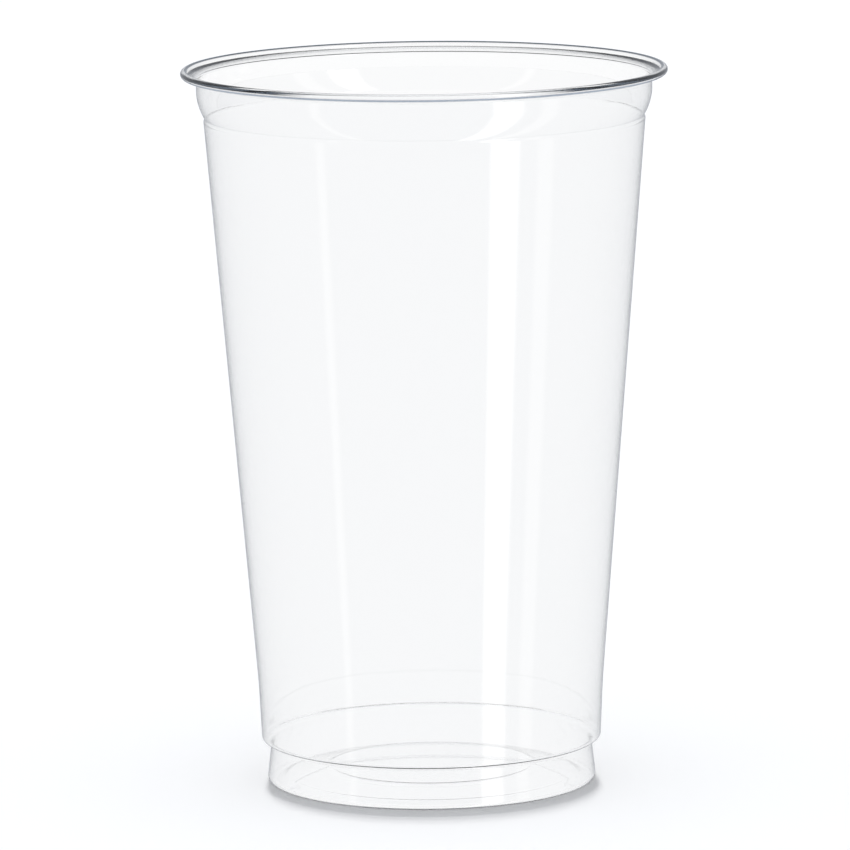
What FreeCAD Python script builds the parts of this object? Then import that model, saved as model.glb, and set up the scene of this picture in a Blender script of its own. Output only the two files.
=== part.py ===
import FreeCAD, Part
import math
import os

# A clear drinking cup, formed in one piece from a thin plastic sheet.
# Its whole shape is one section turned about the Z axis: from the bead along its free edge,
# in along the flared lip, down the neck and the tapered wall, under the shoulder, round the
# hollow foot and across the raised floor.
# All sizes are in millimetres. The origin is on the axis, on the surface that the cup stands on.

# The sheet
sheet = 0.3                  # thickness of the formed sheet, the same all over

# Rim: a lip that flares out from the neck, its free edge rolled tight into a solid bead.
# Diameters here and below are taken over the outside of the sheet.
height = 141.0               # from the surface it stands on to the top of the bead
rim_diameter = 95.0          # over the bead, where a lid presses on
bead_diameter = 1.5          # thickness of the bead itself
lip_drop = 2.0               # from the top of the bead to the corner where the lip leaves the neck

# Neck and collar: upright under the lip, then bulging in to a shallow groove above the wall
neck_diameter = 88.9
collar_drop = 7.1            # from the top of the bead to where the collar starts to lean in
collar_depth = 9.5           # from the top of the bead to the bottom of the groove
collar_groove = 0.3          # how far the groove lies in from the top of the wall
groove_rise = 0.55           # from the top of the wall up to the bottom of the groove
collar_diameter = 86.2       # over the top of the wall, right under the groove

# Tapered wall, and the steeper band at its lower end
band_diameter = 67.88        # over the wall, where the band begins
band_height = 19.5
shoulder_diameter = 66.84    # over the wall's lower end, before it is rounded
ledge_height = 8.25          # underside of the step that goes in to the foot

# Hollow foot, wider at the bottom
foot_top_diameter = 62.94
foot_diameter = 64.84
heel_width = 2.7             # of the foot's underside, before its edges are rounded
heel_slope = 1.5             # how far the heel's inner side leans in on its way up to the floor

# Raised floor, with a flat disc in its middle
floor_lift = 0.9             # underside of the floor's outer edge
disc_diameter = 42.8         # at the foot of the step around the disc
disc_edge_lift = 2.15        # underside of the floor at the foot of that step
disc_step = 1.2              # width of the sloping step
disc_lift = 2.55             # underside of the disc

# Bends, each as the radius in the middle of the sheet
lip_bend = 0.4
collar_bend = 9.0
step_bend = 0.35
band_bend = 160.0
shoulder_bend = 0.45
foot_bend = 0.9
heel_bend = 0.75
floor_bend = 2.5
disc_bend = 2.0


def sheet_path():
    """Corners of the line in the middle of the sheet, each as (radius, height, bend radius)."""
    half = sheet / 2
    bead_r = bead_diameter / 2
    neck_r = neck_diameter / 2 - half
    wall_r = collar_diameter / 2 - half
    groove_z = height - collar_depth
    heel_in_r = foot_diameter / 2 - heel_width + half
    disc_edge_r = disc_diameter / 2
    return [
        (rim_diameter / 2 - bead_r, height - bead_r, 0),
        (neck_r, height - lip_drop, lip_bend),
        (neck_r, height - collar_drop, collar_bend),
        (wall_r - collar_groove, groove_z, step_bend),
        (wall_r, groove_z - groove_rise, step_bend),
        (band_diameter / 2 - half, band_height, band_bend),
        (shoulder_diameter / 2 - half, ledge_height + half, shoulder_bend),
        (foot_top_diameter / 2 - half, ledge_height + half, foot_bend),
        (foot_diameter / 2 - half, half, heel_bend),
        (heel_in_r, half, floor_bend),
        (heel_in_r - heel_slope, floor_lift + half, floor_bend),
        (disc_edge_r, disc_edge_lift + half, disc_bend),
        (disc_edge_r - disc_step, disc_lift + half, disc_bend),
        (0, disc_lift + half, 0),
    ]


def direction(start, end):
    """Unit vector from one point of the section to another."""
    away = end - start
    return away / away.Length


def left_of(along):
    """The direction at right angles to another one, on its left, with Z up."""
    return FreeCAD.Vector(-along.z, 0, along.x)


def bends_of(corners):
    """The tangent arc at each inner corner. Where two bends would meet on a short run, both shrink."""
    points = [FreeCAD.Vector(r, 0, z) for r, z, _ in corners]
    runs = [direction(a, b) for a, b in zip(points, points[1:])]
    lengths = [(b - a).Length for a, b in zip(points, points[1:])]
    turns = []
    reaches = [0]
    for before, after, corner in zip(runs, runs[1:], corners[1:]):
        turn = math.atan2(left_of(before).dot(after), before.dot(after))
        turns.append(turn)
        reaches.append(corner[2] * math.tan(abs(turn) / 2))
    reaches.append(0)
    # A short straight stretch, a hundredth of the run, is left between two bends.
    shares = [min(1, 0.99 * length / (a + b)) for length, a, b in zip(lengths, reaches, reaches[1:])]
    bends = []
    for i, turn in enumerate(turns):
        reach = reaches[i + 1] * min(shares[i], shares[i + 1])
        bends.append({
            "start": points[i + 1] - runs[i] * reach,
            "end": points[i + 1] + runs[i + 1] * reach,
            "before": runs[i],
            "after": runs[i + 1],
            "turn": turn,
        })
    return points, runs, bends


def side_of_sheet(corners, offset):
    """Edges along one side of the sheet, offset to the left of the middle line, from the bead on."""
    points, runs, bends = bends_of(corners)
    edges = []
    out_of_bead = math.sqrt((bead_diameter / 2) ** 2 - offset ** 2)
    last = points[0] + runs[0] * out_of_bead + left_of(runs[0]) * offset
    for bend in bends:
        start = bend["start"] + left_of(bend["before"]) * offset
        end = bend["end"] + left_of(bend["after"]) * offset
        # The middle of the arc lies back from the chord by the arc's rise, away from its centre.
        chord = end - start
        rise = chord.Length / 2 * math.tan(bend["turn"] / 4)
        middle = (start + end) / 2 - left_of(direction(start, end)) * rise
        edges.append(Part.LineSegment(last, start).toShape())
        edges.append(Part.Arc(start, middle, end).toShape())
        last = end
    final = points[-1] + left_of(runs[-1]) * offset
    edges.append(Part.LineSegment(last, final).toShape())
    return edges


def cup():
    """The sheet's section, closed round the bead and on the axis, and turned once round."""
    corners = sheet_path()
    left = side_of_sheet(corners, sheet / 2)
    right = side_of_sheet(corners, -sheet / 2)
    points, runs, _ = bends_of(corners)
    bead_far = points[0] - runs[0] * (bead_diameter / 2)
    bead = Part.Arc(right[0].Vertexes[0].Point, bead_far, left[0].Vertexes[0].Point).toShape()
    on_axis = Part.LineSegment(left[-1].Vertexes[-1].Point, right[-1].Vertexes[-1].Point).toShape()
    outline = Part.Wire(left + [on_axis] + right[::-1] + [bead])
    return Part.Face(outline).revolve(FreeCAD.Vector(0, 0, 0), FreeCAD.Vector(0, 0, 1), 360)


os.makedirs("parts", exist_ok=True)
body = cup()
body.exportStep("parts/cup.step")
print("cup", body.ShapeType, "valid", body.isValid(), "volume mm3", round(body.Volume, 1))
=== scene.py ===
import math

import bmesh
import bpy
from mathutils import Matrix, Vector


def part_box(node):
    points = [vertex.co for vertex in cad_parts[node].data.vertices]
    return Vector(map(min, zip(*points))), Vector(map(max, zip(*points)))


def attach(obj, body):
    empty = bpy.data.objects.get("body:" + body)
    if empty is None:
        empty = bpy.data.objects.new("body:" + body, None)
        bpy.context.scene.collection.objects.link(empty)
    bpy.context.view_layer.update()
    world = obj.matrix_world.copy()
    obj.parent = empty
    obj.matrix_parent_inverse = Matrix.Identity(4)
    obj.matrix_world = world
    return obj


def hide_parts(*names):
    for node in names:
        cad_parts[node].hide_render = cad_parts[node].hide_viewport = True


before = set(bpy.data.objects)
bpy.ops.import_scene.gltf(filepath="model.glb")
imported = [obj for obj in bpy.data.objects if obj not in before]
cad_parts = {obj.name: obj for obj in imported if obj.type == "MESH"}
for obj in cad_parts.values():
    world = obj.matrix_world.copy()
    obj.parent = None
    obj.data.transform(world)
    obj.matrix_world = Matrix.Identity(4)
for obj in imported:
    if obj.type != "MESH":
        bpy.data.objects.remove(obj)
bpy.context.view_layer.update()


# The cup is one sheet of clear PET, heated and drawn down into a mould, then trimmed.
# Its edge was rolled up tight into a bead on a flared lip, and its base was pushed up inside
# a hollow foot, so the whole cup is one section, as thick as the sheet, turned about its axis.
cup_low, cup_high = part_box("cup")
sheet = 0.0003
height = cup_high.z
box_margin = 0.00001
rim_radius = min(cup_high.x, cup_high.y) - box_margin
bead_radius = 0.00075
lip_foot = height - 0.002
neck_radius = 0.04445
collar_top = height - 0.0071
groove_height = height - 0.0095
groove_depth = 0.0003
groove_rise = 0.00055
collar_radius = 0.0431
band_radius = 0.03394
band_top = 0.0195
shoulder_radius = 0.03342
ledge = 0.00825
foot_top_radius = 0.03147
foot_radius = 0.03242
heel_width = 0.0027
heel_slope = 0.0015
floor_lift = 0.0009
disc_radius = 0.0214
disc_edge_lift = 0.00215
disc_step = 0.0012
disc_lift = 0.00255

# The bends, each as the radius in the middle of the sheet.
lip_bend = 0.0004
collar_bend = 0.009
step_bend = 0.00035
band_bend = 0.16
shoulder_bend = 0.00045
foot_bend = 0.0009
heel_bend = 0.00075
floor_bend = 0.0025
disc_bend = 0.002

# The section's corners in the middle of the sheet: radius, height and the bend there.
half = sheet / 2
wall_radius = collar_radius - half
heel_inside = foot_radius - heel_width + half
section = [
    (rim_radius - bead_radius, height - bead_radius, 0),
    (neck_radius - half, lip_foot, lip_bend),
    (neck_radius - half, collar_top, collar_bend),
    (wall_radius - groove_depth, groove_height, step_bend),
    (wall_radius, groove_height - groove_rise, step_bend),
    (band_radius - half, band_top, band_bend),
    (shoulder_radius - half, ledge + half, shoulder_bend),
    (foot_top_radius - half, ledge + half, foot_bend),
    (foot_radius - half, half, heel_bend),
    (heel_inside, half, floor_bend),
    (heel_inside - heel_slope, floor_lift + half, floor_bend),
    (disc_radius, disc_edge_lift + half, disc_bend),
    (disc_radius - disc_step, disc_lift + half, disc_bend),
    (0, disc_lift + half, 0),
]
bend_steps = 8
bead_steps = 32
turn_steps = 360
merge_distance = 0.000001

points = [Vector((radius, 0, z)) for radius, z, bend in section]
runs = [after - before for before, after in zip(points, points[1:])]
lefts = [Vector((-run.z, 0, run.x)).normalized() for run in runs]
half_turns = [math.tan(before.angle(after) / 2) for before, after in zip(runs, runs[1:])]
reaches = [0] + [corner[2] * slant for corner, slant in zip(section[1:], half_turns)] + [0]
# Where two bends would meet on a short run, both give way and leave a hundredth of it straight.
shares = [min(1, 0.99 * run.length / (a + b)) for run, a, b in zip(runs, reaches, reaches[1:])]

# Each side of the sheet leaves the bead, follows the middle at half the thickness, and ends on the axis.
cup_bm = bmesh.new()
out_of_bead = math.sqrt(bead_radius ** 2 - half ** 2)
for offset in (half, -half):
    side = [cup_bm.verts.new(points[0] + runs[0].normalized() * out_of_bead + lefts[0] * offset)]
    for i in range(1, len(points) - 1):
        mitre = (lefts[i - 1] + lefts[i]) / (1 + lefts[i - 1].dot(lefts[i]))
        side.append(cup_bm.verts.new(points[i] + mitre * offset))
    side.append(cup_bm.verts.new(points[-1] + lefts[-1] * offset))
    for one, other in zip(side, side[1:]):
        cup_bm.edges.new((one, other))
    if offset > 0:
        bead_start = side[0].co.copy()
    for i in range(1, len(points) - 1):
        turns_left = math.copysign(1, lefts[i - 1].dot(runs[i]))
        reach = reaches[i] * min(shares[i - 1], shares[i]) - offset * turns_left * half_turns[i - 1]
        bmesh.ops.bevel(
            cup_bm,
            geom=[side[i]],
            offset=reach,
            offset_type='OFFSET',
            segments=bend_steps,
            profile=0.5,
            affect='VERTICES',
            material=-1,
        )
bmesh.ops.spin(
    cup_bm,
    geom=[vert for vert in cup_bm.verts if (vert.co - bead_start).length < merge_distance],
    cent=points[0],
    axis=(0, -1, 0),
    angle=2 * math.pi - 2 * math.asin(half / bead_radius),
    steps=bead_steps,
)
bmesh.ops.remove_doubles(cup_bm, verts=cup_bm.verts, dist=merge_distance)
bmesh.ops.spin(
    cup_bm,
    geom=cup_bm.verts[:] + cup_bm.edges[:],
    cent=(0, 0, 0),
    axis=(0, 0, 1),
    angle=2 * math.pi,
    steps=turn_steps,
    use_merge=True,
)
bmesh.ops.remove_doubles(cup_bm, verts=cup_bm.verts, dist=merge_distance)
bmesh.ops.recalc_face_normals(cup_bm, faces=cup_bm.faces)
for face in cup_bm.faces:
    face.smooth = True
cup_mesh = bpy.data.meshes.new("clear_cup")
cup_bm.to_mesh(cup_mesh)
cup_bm.free()
cup = bpy.data.objects.new("clear_cup", cup_mesh)
bpy.context.scene.collection.objects.link(cup)
shading = cup.modifiers.new("long_runs_shade_flat", 'WEIGHTED_NORMAL')
shading.mode = 'FACE_AREA'

clear_plastic = bpy.data.materials.new("clear_plastic")
clear_plastic.use_nodes = True
nodes = clear_plastic.node_tree.nodes
links = clear_plastic.node_tree.links
nodes.clear()
output = nodes.new("ShaderNodeOutputMaterial")
plastic = nodes.new("ShaderNodeBsdfPrincipled")
plastic.inputs["Transmission Weight"].default_value = 1
plastic.inputs["IOR"].default_value = 1.575
place = nodes.new("ShaderNodeTexCoord")
apart = nodes.new("ShaderNodeSeparateXYZ")
links.new(place.outputs["Object"], apart.inputs["Vector"])


def joined(operation, one, other):
    """A Math node of the material being made, fed by two sockets or numbers."""
    node = nodes.new("ShaderNodeMath")
    node.operation = operation
    for socket, value in zip(node.inputs, (one, other)):
        if isinstance(value, (int, float)):
            socket.default_value = value
        else:
            links.new(value, socket)
    return node.outputs["Value"]


def fade(value, start, end):
    """A smooth step of the material being made, from 0 at start to 1 at end."""
    node = nodes.new("ShaderNodeMapRange")
    node.interpolation_type = 'SMOOTHSTEP'
    links.new(value, node.inputs["Value"])
    node.inputs["From Min"].default_value = start
    node.inputs["From Max"].default_value = end
    return node.outputs["Result"]


# The bead is rolled up from several turns of sheet. Its colour holds painted shade: a painted grey on
# the lower part of its outer side, a painted dark that grows round its upper outer side where it is seen
# edge-on, and a painted dark line along the top of its inner side.
# Heights in the bead are counted from its middle, as parts of its radius.
bead_middle = height - bead_radius
bead_turn = rim_radius - bead_radius
turn_blur = 0.00001
clear_tint = (0.98, 0.984, 0.988, 1)
painted_grey_shade = (0.16, 0.2, 0.27, 1)
painted_dark_shade = (0.008, 0.012, 0.019, 1)
level_only = nodes.new("ShaderNodeVectorMath")
level_only.operation = 'MULTIPLY'
level_only.inputs[1].default_value = (1, 1, 0)
links.new(place.outputs["Object"], level_only.inputs[0])
from_axis = nodes.new("ShaderNodeVectorMath")
from_axis.operation = 'LENGTH'
links.new(level_only.outputs["Vector"], from_axis.inputs[0])
surface = nodes.new("ShaderNodeNewGeometry")
slant = nodes.new("ShaderNodeLayerWeight")
slant.inputs["Blend"].default_value = 0.5
bead_z = joined('DIVIDE', joined('SUBTRACT', apart.outputs["Z"], bead_middle), bead_radius)
outside = joined('SUBTRACT', 1, surface.outputs["Backfacing"])
outward = fade(from_axis.outputs["Value"], bead_turn - turn_blur, bead_turn)
outer_side = joined('MULTIPLY', outward, outside)
inner_side = joined('MULTIPLY', joined('SUBTRACT', 1, outward), outside)
# Painted grey shade on the lower part of the bead's outer side.
painted_underside_shade = joined('MULTIPLY', fade(bead_z, -0.2, -0.45), outer_side)
upper_half = joined('MULTIPLY', fade(bead_z, -0.2, 0), fade(bead_z, 0.8, 0.6))
upper_outer_bead = joined('MULTIPLY', upper_half, outer_side)
# Painted dark shade on the bead's upper outer side, growing where it is seen edge-on.
painted_edge_on_shade = joined('MULTIPLY', upper_outer_bead, fade(slant.outputs["Facing"], 0.1, 0.22))
# A painted dark line along the top of the bead's inner side.
painted_top_shade_line = joined('MULTIPLY', fade(bead_z, 0.55, 0.8), inner_side)
painted_grey_mix = nodes.new("ShaderNodeMix")
painted_grey_mix.data_type = 'RGBA'
painted_grey_mix.inputs["A"].default_value = clear_tint
painted_grey_mix.inputs["B"].default_value = painted_grey_shade
links.new(painted_underside_shade, painted_grey_mix.inputs["Factor"])
# The painted grey and painted dark shades are mixed into the clear plastic's colour.
tint = nodes.new("ShaderNodeMix")
tint.data_type = 'RGBA'
tint.inputs["B"].default_value = painted_dark_shade
links.new(joined('ADD', painted_edge_on_shade, painted_top_shade_line), tint.inputs["Factor"])
links.new(painted_grey_mix.outputs["Result"], tint.inputs["A"])
links.new(tint.outputs["Result"], plastic.inputs["Base Color"])

# Drawing the hot sheet leaves faint upright streaks that swell and fade.
stretch = nodes.new("ShaderNodeMapping")
stretch.inputs["Scale"].default_value = (1, 1, 0.12)
links.new(place.outputs["Object"], stretch.inputs["Vector"])
streaks = nodes.new("ShaderNodeTexNoise")
streaks.inputs["Scale"].default_value = 120
streaks.inputs["Detail"].default_value = 2
links.new(stretch.outputs["Vector"], streaks.inputs["Vector"])
ripple = nodes.new("ShaderNodeBump")
ripple.inputs["Strength"].default_value = 0.12
ripple.inputs["Distance"].default_value = 0.00002
links.new(streaks.outputs["Fac"], ripple.inputs["Height"])
links.new(ripple.outputs["Normal"], plastic.inputs["Normal"])

# The polish is not quite even over the wall.
haze = nodes.new("ShaderNodeTexNoise")
haze.inputs["Scale"].default_value = 60
haze.inputs["Detail"].default_value = 4
links.new(place.outputs["Object"], haze.inputs["Vector"])
polish = nodes.new("ShaderNodeMapRange")
polish.inputs["To Min"].default_value = 0.01
polish.inputs["To Max"].default_value = 0.05
links.new(haze.outputs["Fac"], polish.inputs["Value"])
links.new(polish.outputs["Result"], plastic.inputs["Roughness"])

# Clear plastic lets the lamps through, and only the thick bends of the base throw a shadow.
ray = nodes.new("ShaderNodeLightPath")
above_foot = joined('GREATER_THAN', apart.outputs["Z"], ledge)
lets_through = joined('MULTIPLY', ray.outputs["Is Shadow Ray"], above_foot)
through = nodes.new("ShaderNodeBsdfTransparent")
either = nodes.new("ShaderNodeMixShader")
links.new(lets_through, either.inputs["Fac"])
links.new(plastic.outputs["BSDF"], either.inputs[1])
links.new(through.outputs["BSDF"], either.inputs[2])
links.new(either.outputs["Shader"], output.inputs["Surface"])
cup_mesh.materials.append(clear_plastic)

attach(cup, "root")
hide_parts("cup")


# The studio floor is a plain white paper sweep. It holds the shadow of the cup's foot, and seen
# through the cup it is as white as the backdrop.
floor_half = 3.0
floor_bm = bmesh.new()
bmesh.ops.create_grid(floor_bm, x_segments=1, y_segments=1, size=floor_half)
floor_mesh = bpy.data.meshes.new("studio_floor")
floor_bm.to_mesh(floor_mesh)
floor_bm.free()
studio_floor = bpy.data.objects.new("studio_floor", floor_mesh)
bpy.context.scene.collection.objects.link(studio_floor)
studio_floor.visible_glossy = False
white = bpy.data.materials.new("white_sweep")
white.use_nodes = True
nodes = white.node_tree.nodes
links = white.node_tree.links
nodes.clear()
output = nodes.new("ShaderNodeOutputMaterial")
paper = nodes.new("ShaderNodeBsdfDiffuse")
paper.inputs["Color"].default_value = (0.97, 0.97, 0.97, 1)
lit = nodes.new("ShaderNodeEmission")
ray = nodes.new("ShaderNodeLightPath")
seen_through = nodes.new("ShaderNodeMixShader")
links.new(ray.outputs["Is Transmission Ray"], seen_through.inputs["Fac"])
links.new(paper.outputs["BSDF"], seen_through.inputs[1])
links.new(lit.outputs["Emission"], seen_through.inputs[2])
links.new(seen_through.outputs["Shader"], output.inputs["Surface"])
floor_mesh.materials.append(white)


# The room around it: a white backdrop, which shows to the camera and through the cup. What the
# cup mirrors is dimmer and a little blue, with three upright strip lights in front of it.
room = bpy.data.worlds.new("studio")
bpy.context.scene.world = room
room.use_nodes = True
nodes = room.node_tree.nodes
links = room.node_tree.links
nodes.clear()
output = nodes.new("ShaderNodeOutputWorld")
backdrop = nodes.new("ShaderNodeBackground")
links.new(backdrop.outputs["Background"], output.inputs["Surface"])
ray = nodes.new("ShaderNodeLightPath")
way = nodes.new("ShaderNodeTexCoord")
split = nodes.new("ShaderNodeSeparateXYZ")
links.new(way.outputs["Generated"], split.inputs["Vector"])

# A strip's place and width are in degrees, turned from the camera's side to the right.
strip_blur = 2
toward_camera = joined('MULTIPLY', split.outputs["Y"], -1)
turned = joined('ARCTAN2', split.outputs["X"], toward_camera)
bearing = joined('MULTIPLY', turned, 180 / math.pi)
strip_lights = 0
for middle, width, power in ((43, 16, 2.0), (67, 10, 0.6), (-57, 5, 0.7)):
    away = joined('ABSOLUTE', joined('SUBTRACT', bearing, middle), 0)
    shape = joined('SUBTRACT', 1, fade(away, width / 2 - strip_blur, width / 2 + strip_blur))
    strip_lights = joined('ADD', strip_lights, joined('MULTIPLY', shape, power))

mirrored_grey = 0.5
soft_light = 0.66
blue_grey = (0, 0.045, 0.13, 1)
to_camera = ray.outputs["Is Camera Ray"]
through_cup = ray.outputs["Is Transmission Ray"]
glossy = ray.outputs["Is Glossy Ray"]
mirror_only = joined('MULTIPLY', glossy, joined('SUBTRACT', 1, through_cup))
seen = joined('MAXIMUM', joined('MAXIMUM', to_camera, through_cup), glossy)
lighting = joined('MULTIPLY', joined('SUBTRACT', 1, seen), soft_light)
mirrored = joined('MULTIPLY', mirror_only, joined('ADD', strip_lights, mirrored_grey))
level = joined('ADD', joined('ADD', lighting, mirrored), joined('ADD', to_camera, through_cup))
tint = nodes.new("ShaderNodeMix")
tint.data_type = 'RGBA'
tint.inputs["A"].default_value = blue_grey
tint.inputs["B"].default_value = (1, 1, 1, 1)
links.new(level, tint.inputs["Factor"])
links.new(tint.outputs["Result"], backdrop.inputs["Color"])
links.new(joined('MAXIMUM', level, 1), backdrop.inputs["Strength"])


# A tall narrow key light stands behind and above, a little to the left, as three lamps one over
# the other. It throws the foot's shadow forward, with a soft front edge.
key_bearing = 2
for key_elevation in (34, 43, 55):
    key = bpy.data.lights.new("key", 'SUN')
    key.energy = 0.62
    key.angle = math.radians(8)
    key_light = bpy.data.objects.new("key", key)
    bpy.context.scene.collection.objects.link(key_light)
    key_light.matrix_world = (
        Matrix.Rotation(math.radians(key_bearing), 4, 'Z')
        @ Matrix.Rotation(math.radians(-(90 - key_elevation)), 4, 'X')
    )
    key_light.visible_glossy = False
    key_light.visible_transmission = False


# The camera stands in front, a little above the rim, and looks down on the cup with a long lens.
camera_place = Vector((0, -1.4534, 0.30373))
look_down = 9.123
look_right = 0.0227
camera_roll = -0.653
lens = bpy.data.cameras.new("camera")
lens.lens = 317.64
lens.sensor_width = 36
camera = bpy.data.objects.new("camera", lens)
bpy.context.scene.collection.objects.link(camera)
camera.matrix_world = (
    Matrix.Translation(camera_place)
    @ Matrix.Rotation(math.radians(look_right), 4, 'Z')
    @ Matrix.Rotation(math.radians(90 - look_down), 4, 'X')
    @ Matrix.Rotation(math.radians(camera_roll), 4, 'Z')
)
bpy.context.scene.camera = camera
bpy.context.scene.view_settings.view_transform = 'Standard'
